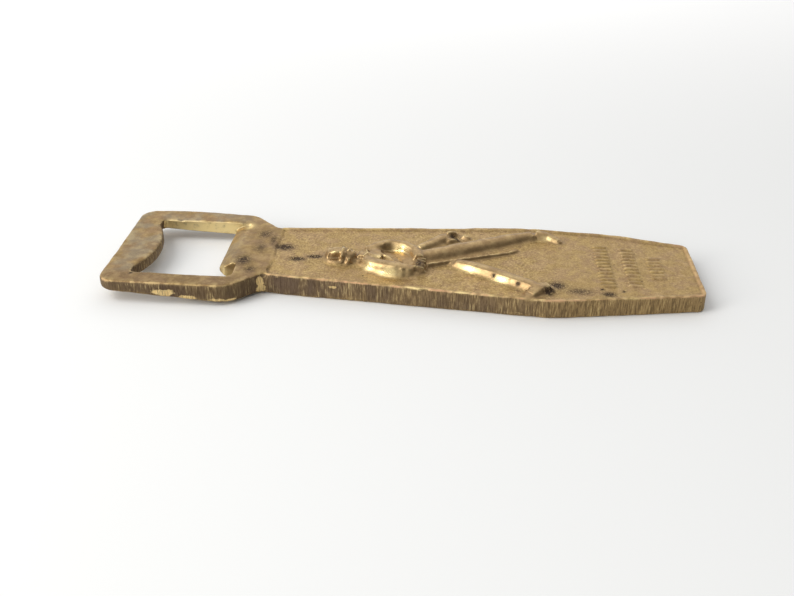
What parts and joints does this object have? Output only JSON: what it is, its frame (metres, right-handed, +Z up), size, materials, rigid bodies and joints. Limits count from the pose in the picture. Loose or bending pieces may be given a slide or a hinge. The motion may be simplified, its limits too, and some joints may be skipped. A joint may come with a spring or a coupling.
{
  "type": "bottle opener",
  "caption": "Flat cast brass bottle opener: a rectangular crown-cap ring with a lobe and a lifting lip, and a tapered handle with a golfer in relief.",
  "frame": {"origin": "middle of the base, under the middle of the tool's length and width", "axes": "+X from the opener ring to the tail along the tool, +Y across it towards the golfer's left foot, +Z up out of the face with the relief"},
  "size_m": [0.15, 0.0408, 0.0082],
  "materials": {
    "tarnished_brass": "smooth brown-gold tarnish, worn pale gold along the edges",
    "worn_brass": "bright where it has been filed and rubbed",
    "sand_cast_brass": "granular sand-cast skin with brown tarnish",
    "relief_brass": "soft cast detail, bright on the high spots and dark in the creases"
  },
  "bodies": {
    "root": {"opener_ring": "tarnished_brass", "fulcrum_lobe": "tarnished_brass", "lifting_lip": "worn_brass", "handle_plate": "sand_cast_brass", "raised_border": "tarnished_brass", "golfer_cap": "relief_brass", "golfer_head": "relief_brass", "golfer_collar": "relief_brass", "golfer_jacket": "relief_brass", "golfer_left_arm": "relief_brass", "golfer_right_arm": "relief_brass", "golfer_hands": "relief_brass", "coat_tail": "relief_brass", "golfer_left_leg": "relief_brass", "golfer_right_leg": "relief_brass", "golfer_left_shoe": "relief_brass", "golfer_right_shoe": "relief_brass", "club_shaft": "relief_brass", "club_head": "relief_brass", "bar_row_1": "sand_cast_brass", "bar_row_2": "sand_cast_brass", "bar_row_3": "sand_cast_brass"}
  },
  "joints": []
}
